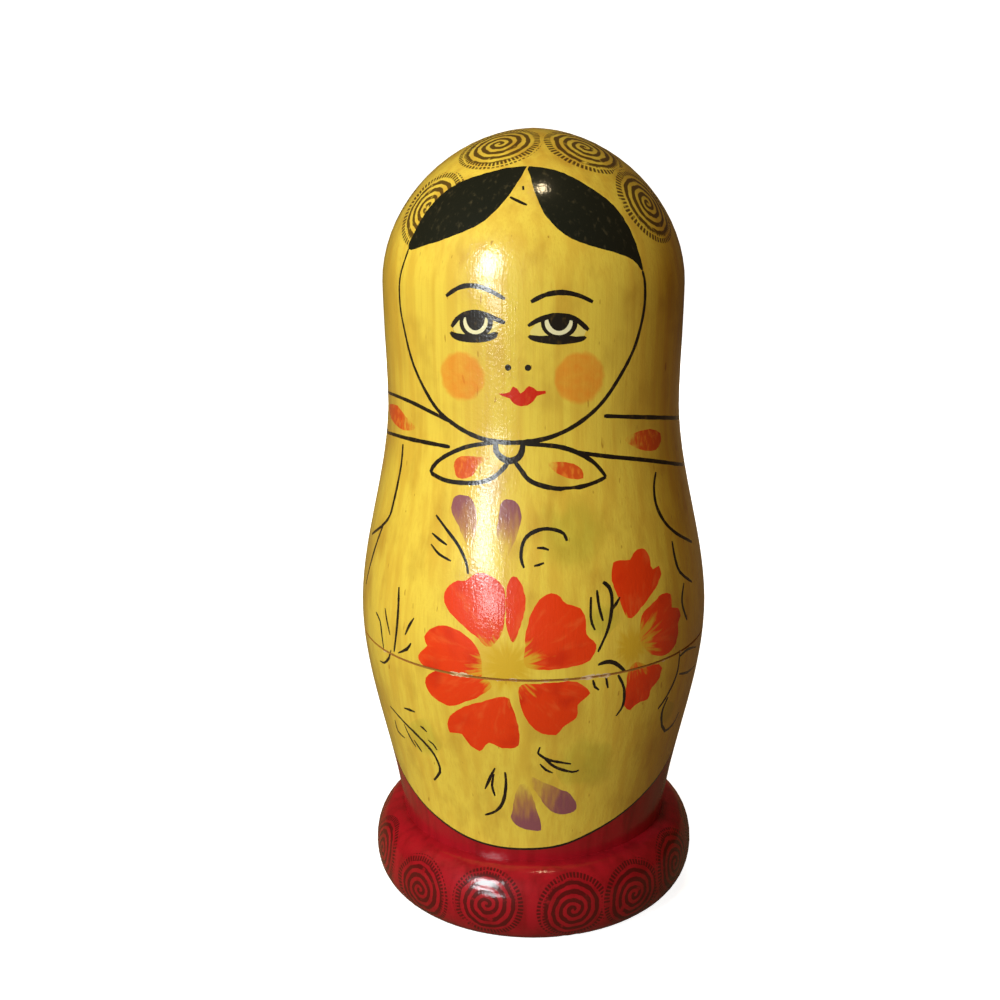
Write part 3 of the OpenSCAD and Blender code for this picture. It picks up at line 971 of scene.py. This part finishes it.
def stroke(widths, path, swell, rng):
    """The loops of a brush stroke along a path of places, cut into short lengths."""
    start, middle, end = widths
    sides = []
    for i, (angle, t) in enumerate(path):
        before, after = path[max(i - 1, 0)], path[min(i + 1, len(path) - 1)]
        r = max(outline.place(t)[0], LEAST_RADIUS_MM)
        right, up = (after[0] - before[0]) * r, after[1] - before[1]
        run = max(math.hypot(right, up), TINY)
        share = 2 * i / (len(path) - 1)
        width = start + (middle - start) * share if share < 1 else middle + (end - middle) * (share - 1)
        half = width / 2 * swell * rng.uniform(*STROKE_WOBBLE)
        if i in (0, len(path) - 1):
            half *= STROKE_TIP
        aside = (-up / run * half / r, right / run * half)
        sides.append(((angle + aside[0], t + aside[1]), (angle - aside[0], t - aside[1])))
    loops = []
    for first in range(0, len(sides) - 1, STROKE_LENGTH):
        part = sides[first:first + STROKE_LENGTH + 1]
        loops.append([left for left, _ in part] + [right for _, right in reversed(part)])
    return loops


def lines(table, step, swell, rng, fine=False):
    shapes = []
    for widths, points in table.values():
        path = [seen(p) for p in smooth(points, False, step)]
        shapes.append(Shape("black", stroke(widths, path, swell, rng), fine=fine))
    return shapes


def turns(kind):
    """Angles round a painted round of a kind."""
    return angles_round(ROUND_POINTS[kind])


def ring_px(centre, radii, kind):
    """Pixels round an ellipse."""
    return [(centre[0] + radii[0] * math.cos(a), centre[1] + radii[1] * math.sin(a)) for a in turns(kind)]


def patch(paint, points, step, rng, brush=None):
    """A filled shape through pixels, with an edge as ragged as the brush leaves it."""
    ragged = RAGGED_PX.get(paint, 0.0)
    edge = smooth(points, True, step)
    worn = [tuple(c + rng.uniform(-ragged, ragged) for c in p) for p in edge]
    return Shape(paint, [[seen(p) for p in worn]], brush)


def printed_disc(brush, radius, kind):
    return [brush.printed(radius * math.cos(a), radius * math.sin(a)) for a in turns(kind)]


def washed(paint, centre, radii):
    """A round of thin paint, cut a little wider than it is, with the brush's size at its edge."""
    brush = Brush(seen(centre))
    edge = [outline.point(*seen(p)) for p in ring_px(centre, radii, "wash")]
    brush.size = max(abs(brush.local(p, 0)[1]) for p in edge)
    wide = ring_px(centre, [r * WASH_MARGIN for r in radii], "wash")
    return Shape(paint, [[seen(p) for p in wide]], brush)


def between(start, end, seed):
    """The brush of a shape that runs from one pixel to another, with y = 1 at its end."""
    first, last = seen(start), seen(end)
    level = Brush(first)
    x, y, _ = level.local(outline.point(*last), 0)
    brush = Brush(first, math.atan2(-x, y), seed)
    brush.size = math.hypot(x, y)
    return brush


def eye(side):
    """Iris, pale crescent and pupil under the upper lid."""
    lid = smooth(FACE_LINES_PX[side + "_upper_lid"][1], False, LID_STEP_PX)
    shapes = []
    for paint, centre, radii, top in EYES_PX[side]:
        under = []
        for x, y in ring_px(centre, radii, "eye"):
            lid_y = min(lid, key=lambda p: abs(p[0] - x))[1]
            under.append(seen((x, max(y, top, lid_y + UNDER_LID_PX))))
        shapes.append(Shape(paint, [under]))
    return shapes


def apron(swell, rng):
    """The apron with the line along its edge, and the bare wood under the foot."""
    edge = [round_at(*p) for p in smooth(APRON_EDGE, False, APRON_STEP)]
    beyond = outline.upper_rim + APRON_PAST_RIM_MM
    cloth = Shape("amber", [edge + [(a, beyond) for a, _ in reversed(edge)]])
    line = Shape("black", stroke(APRON_LINE_MM, edge, swell, rng), fine=True)
    bare = [(a, BARE_FOOT_MM + rng.uniform(-BARE_WOBBLE_MM, BARE_WOBBLE_MM)) for a in turns("bare")]
    return [cloth, line, Shape("bare", [bare])]


def stamps(rng):
    """The spiral stamps over the head and round the foot."""
    shapes = []
    for k, spot in enumerate(HEAD_STAMPS):
        brush = Brush(round_at(*spot), rng.uniform(0, STAMP_TURN), k * SEED_STEPS["stamp"])
        disc = printed_disc(brush, STAMP_RADIUS_MM * STAMP_MARGIN, "stamp")
        shapes.append(Shape("stamp", [disc], brush))
    for k, spot in enumerate(FOOT_STAMPS):
        brush = UnrolledBrush(round_at(*spot), k * SEED_STEPS["foot_stamp"])
        disc = printed_disc(brush, FOOT_STAMP_RADIUS_MM * STAMP_MARGIN, "foot_stamp")
        shapes.append(Shape("foot_stamp", [disc], brush))
    return shapes


def kerchief(swell, rng):
    """The kerchief's hems behind the shoulders, and the dabs between them."""
    shapes = []
    for hem in KERCHIEF_HEMS.values():
        path = [round_at(*p) for p in smooth(hem, False, KERCHIEF_STEP)]
        shapes.append(Shape("black", stroke(KERCHIEF_LINE_MM, path, swell, rng)))
    long, wide = KERCHIEF_DAB_MM
    for k, spot in enumerate(KERCHIEF_DABS):
        brush = UnrolledBrush(round_at(*spot), k * SEED_STEPS["hem_dab"])
        brush.size = 2 * long
        tilt = rng.uniform(-DAB_TILT, DAB_TILT)
        cosine, sine = math.cos(tilt), math.sin(tilt)
        loop = []
        for a in turns("dab"):
            x, y = long * math.cos(a), wide * math.sin(a) * (1 - DAB_TAPER * math.cos(a))
            loop.append(brush.printed(x * cosine - y * sine, x * sine + y * cosine))
        shapes.append(Shape("dab", [loop], brush))
    return shapes


def face(step, swell, rng):
    shapes = [patch("amber", FACE_PX, step * FACE_STEPS, rng)]
    shapes += [washed("cheek", centre, radii) for centre, radii in CHEEKS_PX.values()]
    shapes += [patch("hair", points, step, rng) for points in HAIR_PX.values()]
    shapes += [patch("eye_white", points, step, rng) for points in EYE_WHITES_PX.values()]
    for side in EYES_PX:
        shapes += eye(side)
    shapes += [patch("black", points, step, rng) for points in LOWER_LIDS_PX.values()]
    for spot in NOSE_DOTS_PX:
        shapes.append(Shape("black", [printed_disc(Brush(seen(spot)), NOSE_DOT_MM * swell, "dot")]))
    shapes.append(patch("lips", LIPS_PX, step, rng))
    return shapes + lines(FACE_LINES_PX, step, swell, rng)


def streaked(paint, table, step, rng):
    """Shapes of a paint that runs from thick to dry."""
    shapes = []
    for k, (thick, dry, points) in enumerate(table.values()):
        shapes.append(patch(paint, points, step, rng, between(thick, dry, k * SEED_STEPS[paint])))
    return shapes


def flowers(step, rng):
    """The washes behind the sprigs, and the flowers with their hearts and petals."""
    shapes = [washed("leaf", centre, (radius, radius)) for centre, radius in WASHES_PX.values()]
    for centre, heart, petals in FLOWERS_PX.values():
        brush = Brush(seen(centre))
        brush.size = heart * MM_PER_PX
        shapes.append(Shape("heart", [[seen(p) for p in ring_px(centre, (heart, heart), "heart")]], brush))
        for k, points in enumerate(petals.values()):
            brush = Brush(seen(centre), 0, k * SEED_STEPS["petal"])
            shapes.append(patch("petal", points, step, rng, brush))
    return shapes


def painting(step, swell, fine):
    """Every shape on a doll, from the first laid to the last, as large as on the largest doll."""
    rng = random.Random(PAINT_SEED)
    shapes = apron(swell, rng) + stamps(rng) + kerchief(swell, rng) + face(step, swell, rng)
    shapes += streaked("dab", DABS_PX, step, rng) + lines(BOW_LINES_PX, step, swell, rng)
    shapes += flowers(step, rng) + streaked("purple", PURPLE_PX, step, rng)
    shapes += lines(SPRIG_LINES_PX, step, swell, rng, fine=True)
    return [s for s in shapes if fine or not s.fine]


# Skins: the painted outside of a half, triangulated along the edges of its paint

def add_object(name, data):
    added = bpy.data.objects.new(name, data)
    scene.collection.objects.link(added)
    return added


class Builder:
    """Collects the corners and faces of a piece, with their normals, paints and brush places."""

    def __init__(self):
        self.points, self.rims = [], []
        self.faces, self.normals, self.paints, self.brushes = [], [], [], []

    def vertex(self, point, rim):
        self.points.append(point)
        self.rims.append(rim)
        return len(self.points) - 1

    def face(self, corners, normals, paint, brushes, ordered=False):
        """Adds a triangle, with its corners put in order by their normals where they aren't yet."""
        a, b, c = (self.points[i] for i in corners)
        if not ordered and (b - a).cross(c - a).dot(normals[0] + normals[1] + normals[2]) < 0:
            corners, normals, brushes = corners[::-1], normals[::-1], brushes[::-1]
        self.faces.append(corners)
        self.normals.append(normals)
        self.paints.append(paint)
        self.brushes.append(brushes)

    def object(self, name):
        mesh = bpy.data.meshes.new(name)
        mesh.from_pydata(self.points, [], self.faces)
        used = sorted(set(self.paints))
        for paint in used:
            mesh.materials.append(MATERIALS[paint])
        mesh.polygons.foreach_set("material_index", [used.index(p) for p in self.paints])
        mesh.polygons.foreach_set("use_smooth", [True] * len(self.faces))
        brush = mesh.attributes.new("brush", "FLOAT_VECTOR", "CORNER")
        brush.data.foreach_set("vector", [x for face in self.brushes for corner in face for x in corner])
        rim = mesh.attributes.new("rim", "FLOAT", "POINT")
        rim.data.foreach_set("value", self.rims)
        mesh.normals_split_custom_set([n for face in self.normals for n in face])
        return add_object(name, mesh)


def area(loop):
    return sum(p[0] * q[1] - q[0] * p[1] for p, q in zip(loop, loop[1:] + loop[:1]))


def add_skin(builder, doll, upper, shapes, columns):
    """Adds the outside of a doll's half, and gives its rim as (angle, vertex) in order. The surface is laid
    flat as a disc round its pole, and cut along the edges of the paint."""
    rim_t = outline.upper_rim if upper else outline.lower_rim

    def flat(place):
        out = outline.length - place[1] if upper else place[1]
        return Vector((out * math.sin(place[0]), -out * math.cos(place[0])))

    points, edges, faces, owners = [], [], [], []

    def add_loop(loop):
        first = len(points)
        points.extend(loop)
        faces.append(list(range(first, first + len(loop))))

    stations = [t for t in outline.at if (t > rim_t if upper else t < rim_t)]
    creases = [t for t in outline.edges() if t in stations]
    rim_loop = [flat((a, rim_t)) for a in angles_round(RIM_COLUMNS)]
    add_loop(rim_loop if area(rim_loop) > 0 else rim_loop[::-1])
    owners.append(None)
    for shape in shapes:
        for loop in shape.loops:
            heights = [t for _, t in loop]
            if (max(heights) < rim_t) if upper else (min(heights) > rim_t):
                continue
            laid = [flat(place) for place in loop]
            add_loop(laid if area(laid) > 0 else laid[::-1])
            owners.append(shape)
    spacing = 2 * math.pi * max(r for r, _ in outline.points) / columns
    last = None
    for t in (stations[::-1] if upper else stations):
        r = outline.place(t)[0]
        if last is not None and t not in creases and abs(t - last) < spacing * CLOSEST_ROWS:
            continue
        last = t
        count = RIM_COLUMNS if t in creases else min(columns, max(1, round(2 * math.pi * r / spacing)))
        first = len(points)
        points.extend(flat((a, t)) for a in angles_round(count))
        if t in creases:
            edges.extend((first + k, first + (k + 1) % count) for k in range(count))
    cut, _, triangles, _, _, origins = geometry.delaunay_2d_cdt(points, edges, faces, 0, SAME_MM)

    kept = [(corners, within) for corners, within in zip(triangles, origins) if 0 in within]
    sides = (pair for corners, _ in kept for pair in zip(corners, corners[1:] + corners[:1]))
    uses = Counter(frozenset(pair) for pair in sides)
    on_rim = {i for pair, count in uses.items() if count == 1 for i in pair}
    places, keys, vertices, rim = [], [], {}, []
    for i, p in enumerate(cut):
        t = outline.length - p.length if upper else p.length
        for level in creases:
            if abs(t - level) < CREASE_SNAP_MM:
                t = level
        place = (math.atan2(p.x, -p.y), rim_t if i in on_rim else min(max(t, 0.0), outline.length))
        places.append(place)
        keys.append(tuple(round(c / MERGE_MM) for c in outline.point(*place)))
    for corners, within in kept:
        if len({keys[i] for i in corners}) < 3:
            continue
        corners = corners if upper else corners[::-1]
        for i in corners:
            if keys[i] not in vertices:
                angle, t = places[i]
                point = doll.put(outline.point(angle, t))
                vertices[keys[i]] = builder.vertex(point, abs(t - rim_t) * doll.scale)
                if i in on_rim:
                    rim.append((angle, vertices[keys[i]]))
        middle = sum(places[i][1] for i in corners) / 3
        normals = [outline.normal(*places[i], middle) for i in corners]
        shape = owners[max(within)]
        paint = shape.paint if shape else ("amber" if upper else "crimson")
        brushes = [NO_BRUSH] * 3
        if shape and shape.brush:
            brushes = [shape.brush.local(outline.point(*places[i]), places[i][1]) for i in corners]
        builder.face([vertices[keys[i]] for i in corners], normals, paint, brushes, ordered=True)
    return sorted(rim)


def zipped(a, b):
    """Triangles between two loops of (angle, vertex), each in order, as (loop, step) corners."""
    triangles = []
    i = j = 0
    while i < len(a) or j < len(b):
        next_a = a[(i + 1) % len(a)][0] + (2 * math.pi if i + 1 >= len(a) else 0)
        next_b = b[(j + 1) % len(b)][0] + (2 * math.pi if j + 1 >= len(b) else 0)
        here_a, here_b = a[i % len(a)], b[j % len(b)]
        if j >= len(b) or (i < len(a) and next_a <= next_b):
            triangles.append(((0, here_a), (0, a[(i + 1) % len(a)]), (1, here_b)))
            i += 1
        else:
            triangles.append(((0, here_a), (1, b[(j + 1) % len(b)]), (1, here_b)))
            j += 1
    return triangles


def add_inside(builder, rest, rim, upper, columns):
    """Adds the turned inside of a half, from its rim over the lip or socket to the middle of the hollow."""
    way = rest[::-1] if upper else rest
    normals = segment_normals(way)
    if upper:
        normals = [pair[::-1] for pair in reversed(normals)]
    loop = rim
    for i, ((r, z), pair) in enumerate(zip(rest[1:], normals)):
        paint = "seam" if i == 0 else "bare"
        plain = [NO_BRUSH] * 3
        if r < SAME_M:
            middle = builder.vertex(Vector((0, 0, z)), NO_RIM)
            for (a, p), (b, q) in zip(loop, loop[1:] + loop[:1]):
                corner_normals = [spun(*pair[0], a), spun(*pair[0], b), Vector((0, 0, pair[1][1]))]
                builder.face([p, q, middle], corner_normals, paint, plain)
            return
        angles = [-math.pi + a for a in angles_round(columns)]
        ring = [(a, builder.vertex(spun(r, z, a), NO_RIM)) for a in angles]
        for corners in zipped(loop, ring):
            corner_normals = [spun(*pair[side], angle) for side, (angle, _) in corners]
            builder.face([v for _, (_, v) in corners], corner_normals, paint, plain)
        loop = ring


class Doll:
    """The scale and place of one doll of the set, from its box in the frame."""

    def __init__(self, lower_node, upper_node):
        low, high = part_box(lower_node)[0][2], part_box(upper_node)[1][2]
        self.scale = (high - low) / MM / outline.height
        self.base = low
        columns = LEAST_COLUMNS + (MOST_COLUMNS - LEAST_COLUMNS) * math.sqrt(self.scale)
        self.columns = 4 * round(columns / 4)

    def put(self, point):
        return Vector((0, 0, self.base)) + point * self.scale * MM

    def shapes(self):
        step = FINEST_STEP_PX / math.sqrt(self.scale)
        return painting(step, self.scale ** -STROKE_SWELL, self.scale > FINE_LINES_SCALE)


def hollow_doll(name):
    doll = Doll(name + "_lower_half", name + "_upper_half")
    shapes = doll.shapes()
    for half, upper in (("lower", False), ("upper", True)):
        node = name + "_" + half + "_half"
        builder = Builder()
        rim = add_skin(builder, doll, upper, shapes, doll.columns)
        _, rest = split_at_rim(turned_profile(node, upper))
        add_inside(builder, rest, rim, upper, doll.columns)
        piece = builder.object(name + "_painted_" + half)
        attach(piece, name + "_" + half)
        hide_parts(node)


def solid_doll():
    node = SOLID_DOLL + "_doll"
    doll = Doll(node, node)
    shapes = doll.shapes()
    builder = Builder()
    low = add_skin(builder, doll, False, shapes, doll.columns)
    high = add_skin(builder, doll, True, shapes, doll.columns)
    rims = (outline.lower_rim, outline.upper_rim)
    for corners in zipped(low, high):
        normals = [outline.normal(angle, rims[side], sum(rims) / 2) for side, (angle, _) in corners]
        builder.face([v for _, (_, v) in corners], normals, "amber", [NO_BRUSH] * 3)
    piece = builder.object(SOLID_DOLL + "_painted_doll")
    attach(piece, SOLID_DOLL)
    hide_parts(node)


for hollow in HOLLOW_DOLLS:
    hollow_doll(hollow)
solid_doll()


# Stage, light and camera

# The floor runs back to a wall that it curves up into, in metres
FLOOR_WIDTH = 3.2
FLOOR_FRONT = -0.9
WALL_AT = 1.3
WALL_TOP = 1.8
WALL_BEND = 0.45
BEND_STEPS = 16
# Brightness of the stage's own white near the doll and far from it, and where the one turns into the other
STAGE_GLOW = (0.90, 1.0)
STAGE_NEAR_FAR = (0.12, 0.5)
# Share of that white in reflections, and the stage's greys under lamps
STAGE_IN_GLOSS = 0.012
STAGE_WHITE = (0.62, 0.62, 0.62, 1)
STAGE_BOUNCE = (0.14, 0.09, 0.04, 1)
AMBIENT = (0.057, 0.029, 0.008, 1)
WHITE = (1, 1, 1, 1)
# The share of the doll's height at which lamps aim
AIM = 0.55
# Soft lamps: degrees from the front towards the right and up, distance, size, power, colour, and whether
# the lacquer mirrors them
DAYLIGHT = (0.89, 0.96, 1.0)
FILL_SIZE = (0.7, 0.7)
LAMPS = {
    "key_softbox": (-34, 23, 1.0, (0.25, 0.34), 6.3, (0.86, 0.97, 1.0), True),
    "low_softbox": (-34, 6, 1.0, (0.24, 0.09), 1.9, DAYLIGHT, True),
    "table_glow": (-27, -3, 1.0, (0.22, 0.10), 0.9, DAYLIGHT, True),
    "left_fill": (-86, 42, 1.2, FILL_SIZE, 6.6, (1.0, 0.80, 0.44), False),
    "front_fill": (-6, 14, 1.2, FILL_SIZE, 1.3, (1.0, 0.74, 0.38), False),
    "warm_fill": (62, 20, 1.2, FILL_SIZE, 0.6, (1.0, 0.45, 0.10), False),
    "top_fill": (-25, 72, 1.2, (0.5, 0.5), 1.2, (1.0, 0.9, 0.7), False),
    "top_lamp": (26, 80, 0.9, (0.06, 0.06), 0.7, (1.0, 0.80, 0.48), True),
    "back_softbox": (180, 14, 0.9, (0.3, 0.5), 5.5, (1.0, 0.97, 0.92), False),
}


def stage():
    """A pale floor that bends up into a backdrop."""
    section = [(FLOOR_FRONT, 0.0)]
    for k in range(BEND_STEPS + 1):
        a = math.pi / 2 * k / BEND_STEPS
        section.append((WALL_AT - WALL_BEND + WALL_BEND * math.sin(a), WALL_BEND - WALL_BEND * math.cos(a)))
    section.append((WALL_AT, WALL_TOP))
    points = [(side * FLOOR_WIDTH / 2, y, z) for y, z in section for side in (-1, 1)]
    faces = [(2 * k, 2 * k + 1, 2 * k + 3, 2 * k + 2) for k in range(len(section) - 1)]
    mesh = bpy.data.meshes.new("stage_floor")
    mesh.from_pydata(points, [], faces)
    mesh.polygons.foreach_set("use_smooth", [True] * len(faces))
    mesh.materials.append(stage_material())
    floor = add_object("stage_floor", mesh)


def stage_material():
    """White where the camera or a reflection sees it, with the doll's shadow, and dim for bounced light."""
    n = Nodes("stage_white")
    path = n.put("LightPath").outputs
    gloss = n.math("MULTIPLY", path["Is Glossy Ray"], STAGE_IN_GLOSS)
    shown = n.math("MAXIMUM", n.math("MAXIMUM", path["Is Camera Ray"], path["Is Transmission Ray"]), gloss)
    away = n.put("VectorMath", {0: n.place()}, operation="LENGTH").outputs["Value"]
    near, far = STAGE_GLOW
    strength = n.math("MULTIPLY_ADD", n.ramp(away, *STAGE_NEAR_FAR), far - near, near)
    glow = n.put("Emission", {"Color": WHITE, "Strength": strength}).outputs[0]
    white = n.put("BsdfDiffuse", {"Color": STAGE_WHITE}).outputs[0]
    seen_stage = n.put("AddShader", {0: glow, 1: white}).outputs[0]
    bounce = n.put("BsdfDiffuse", {"Color": STAGE_BOUNCE}).outputs[0]
    mixed = n.put("MixShader", {0: shown, 1: bounce, 2: seen_stage}).outputs[0]
    n.put("OutputMaterial", {0: mixed})
    return n.owner


def lamp(name, azimuth, elevation, distance, size, power, colour, mirrored):
    data = bpy.data.lights.new(name, "AREA")
    data.shape = "RECTANGLE"
    data.size, data.size_y = size
    data.energy = power
    data.color = colour
    light = add_object(name, data)
    a, e = math.radians(azimuth), math.radians(elevation)
    aim = Vector((0, 0, outline.height * MM * AIM))
    towards = Vector((math.sin(a) * math.cos(e), -math.cos(a) * math.cos(e), math.sin(e)))
    light.location = aim + towards * distance
    light.rotation_euler = towards.to_track_quat("Z", "Y").to_euler()
    light.visible_camera = False
    light.visible_glossy = mirrored


def world():
    """White to the camera, and dim for all other light."""
    n = Nodes("studio", bpy.data.worlds)
    colour = n.mix(n.put("LightPath").outputs["Is Camera Ray"], AMBIENT, WHITE)
    n.put("OutputWorld", {0: n.put("Background", {0: colour}).outputs[0]})
    scene.world = n.owner


def camera():
    data = bpy.data.cameras.new("photo_camera")
    data.sensor_width = SENSOR_MM
    data.lens = FOCAL_PX / FRAME_PX * SENSOR_MM
    data.shift_x = (FRAME_PX / 2 - OPTICAL_CENTRE_PX[0]) / FRAME_PX
    data.shift_y = (OPTICAL_CENTRE_PX[1] - FRAME_PX / 2) / FRAME_PX
    data.clip_start = CLIP_START
    view = add_object("photo_camera", data)
    view.location = EYE
    view.rotation_euler = (math.pi / 2 - EYE_TILT, 0, 0)
    scene.camera = view


stage()
world()
for lamp_name, settings in LAMPS.items():
    lamp(lamp_name, *settings)
camera()
scene.view_settings.view_transform = "Standard"
